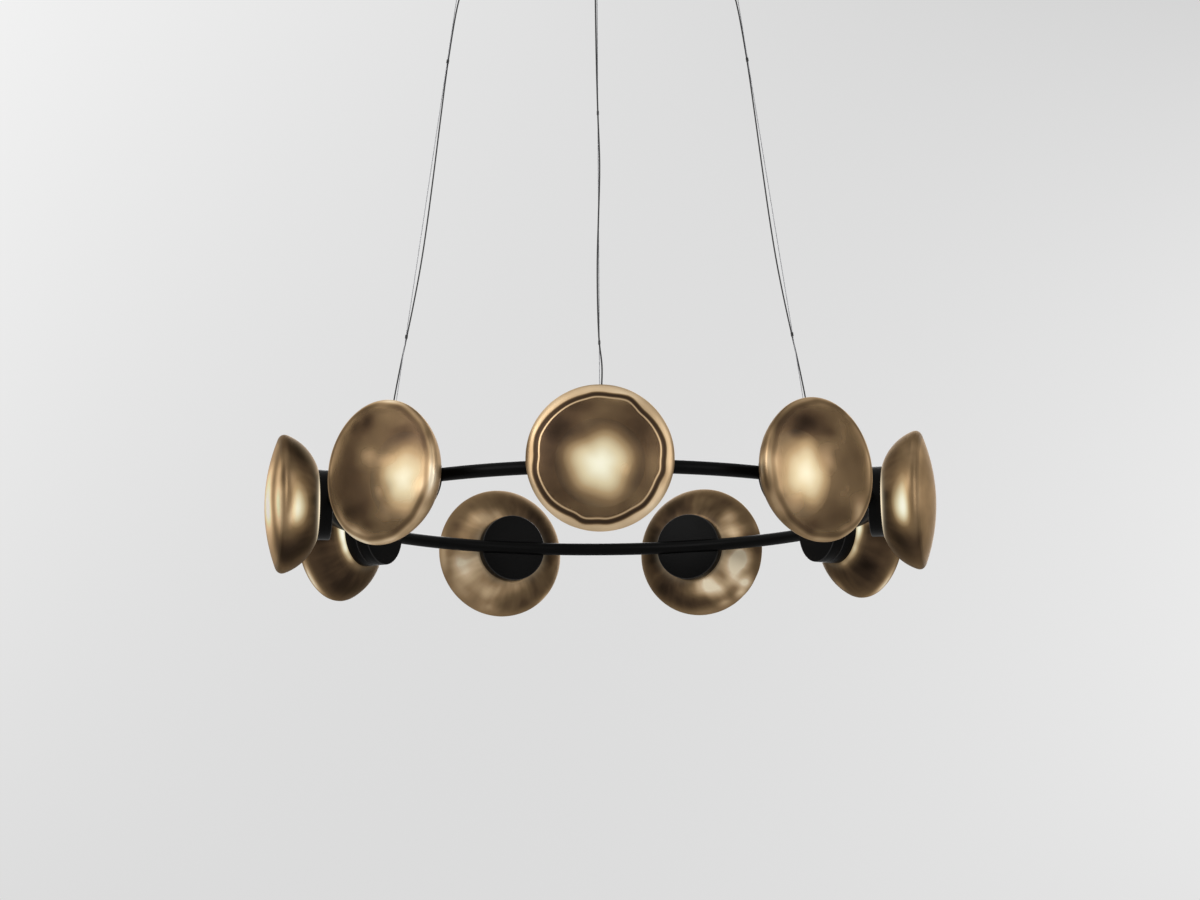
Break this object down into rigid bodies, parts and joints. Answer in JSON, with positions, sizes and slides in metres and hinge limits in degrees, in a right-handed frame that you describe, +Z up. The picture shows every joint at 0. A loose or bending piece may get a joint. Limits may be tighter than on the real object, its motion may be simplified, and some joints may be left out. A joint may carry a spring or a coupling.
{
  "type": "chandelier",
  "caption": "Ring chandelier: lit bronze glass heads face outwards from a round black tube ring, hung on leaning steel ropes with sprung grippers from a round ceiling canopy.",
  "frame": {"origin": "centre of the ceiling bracket's top face, on the ceiling", "axes": "+Z up out of the ceiling face, -Y to the front, +X to the right seen from the front"},
  "size_m": [0.9754, 0.9691, 1.0159],
  "materials": {
    "satin_black": "satin black powder coat",
    "bronze_glass": "metallised, soft gloss",
    "retainer_aluminium": "satin",
    "board_white": "matt",
    "rope_steel": "bright wire",
    "lead_black": "matt",
    "gripper_brass": "nickel plated",
    "bracket_steel": "zinc plated",
    "white_plastic": "matt"
  },
  "bodies": {
    "canopy": {"ceiling_bracket": "bracket_steel", "canopy_cover": "satin_black", "led_driver": "white_plastic", "terminal_block": "white_plastic"},
    "front_rope": {"suspension_rope_1": "rope_steel", "power_lead_1": "lead_black", "gripper_barrel_1": "gripper_brass"},
    "rear_right_rope": {"suspension_rope_2": "rope_steel", "power_lead_2": "lead_black", "gripper_barrel_2": "gripper_brass"},
    "rear_left_rope": {"suspension_rope_3": "rope_steel", "power_lead_3": "lead_black", "gripper_barrel_3": "gripper_brass"},
    "front_plunger": {"release_plunger_1": "rope_steel"},
    "rear_right_plunger": {"release_plunger_2": "rope_steel"},
    "rear_left_plunger": {"release_plunger_3": "rope_steel"},
    "ring": {"ring_tube_1": "satin_black", "ring_tube_2": "satin_black", "ring_tube_3": "satin_black", "hub_drum_1": "satin_black", "hub_drum_2": "satin_black", "hub_drum_3": "satin_black", "head_housing_1": "satin_black", "head_housing_2": "satin_black", "head_housing_3": "satin_black", "head_housing_4": "satin_black", "head_housing_5": "satin_black", "head_housing_6": "satin_black", "head_housing_7": "satin_black", "head_housing_8": "satin_black", "head_housing_9": "satin_black", "glass_shade_1": "bronze_glass", "glass_shade_2": "bronze_glass", "glass_shade_3": "bronze_glass", "glass_shade_4": "bronze_glass", "glass_shade_5": "bronze_glass", "glass_shade_6": "bronze_glass", "glass_shade_7": "bronze_glass", "glass_shade_8": "bronze_glass", "glass_shade_9": "bronze_glass", "glass_retainer_1": "retainer_aluminium", "glass_retainer_2": "retainer_aluminium", "glass_retainer_3": "retainer_aluminium", "glass_retainer_4": "retainer_aluminium", "glass_retainer_5": "retainer_aluminium", "glass_retainer_6": "retainer_aluminium", "glass_retainer_7": "retainer_aluminium", "glass_retainer_8": "retainer_aluminium", "glass_retainer_9": "retainer_aluminium", "led_board_1": "board_white", "led_board_2": "board_white", "led_board_3": "board_white", "led_board_4": "board_white", "led_board_5": "board_white", "led_board_6": "board_white", "led_board_7": "board_white", "led_board_8": "board_white", "led_board_9": "board_white"}
  },
  "joints": [
    {"name": "front_rope_sway", "type": "hinge", "parent": "canopy", "child": "front_rope", "pos_m": [0, -0.238, -0.038], "axis": [1, 0, 0], "range_deg": [-4, 4]},
    {"name": "rear_right_rope_sway", "type": "hinge", "parent": "canopy", "child": "rear_right_rope", "pos_m": [0.20611, 0.119, -0.038], "axis": [1, 0, 0], "range_deg": [-4.2, 4.2]},
    {"name": "rear_left_rope_sway", "type": "hinge", "parent": "canopy", "child": "rear_left_rope", "pos_m": [-0.20611, 0.119, -0.038], "axis": [1, 0, 0], "range_deg": [-4.2, 4.2]},
    {"name": "ring_tilt", "type": "hinge", "parent": "front_rope", "child": "ring", "pos_m": [0, -0.384, -0.868], "axis": [1, 0, 0], "range_deg": [-2.6, 2.6]},
    {"name": "front_release", "type": "slide", "parent": "front_rope", "child": "front_plunger", "axis": [0, 0.1732, 0.9849], "range_m": [0, 0.003], "stiffness_N_per_m": 400, "springref_m": -0.002},
    {"name": "rear_right_release", "type": "slide", "parent": "rear_right_rope", "child": "rear_right_plunger", "axis": [-0.15, -0.0866, 0.9849], "range_m": [0, 0.003], "stiffness_N_per_m": 400, "springref_m": -0.002},
    {"name": "rear_left_release", "type": "slide", "parent": "rear_left_rope", "child": "rear_left_plunger", "axis": [0.15, -0.0866, 0.9849], "range_m": [0, 0.003], "stiffness_N_per_m": 400, "springref_m": -0.002}
  ],
  "couplings": [
    {"joint": "ring_tilt", "follows": "front_rope_sway", "ratio": -0.6198},
    {"joint": "rear_right_rope_sway", "follows": "front_rope_sway", "ratio": 1},
    {"joint": "rear_left_rope_sway", "follows": "front_rope_sway", "ratio": 1}
  ]
}
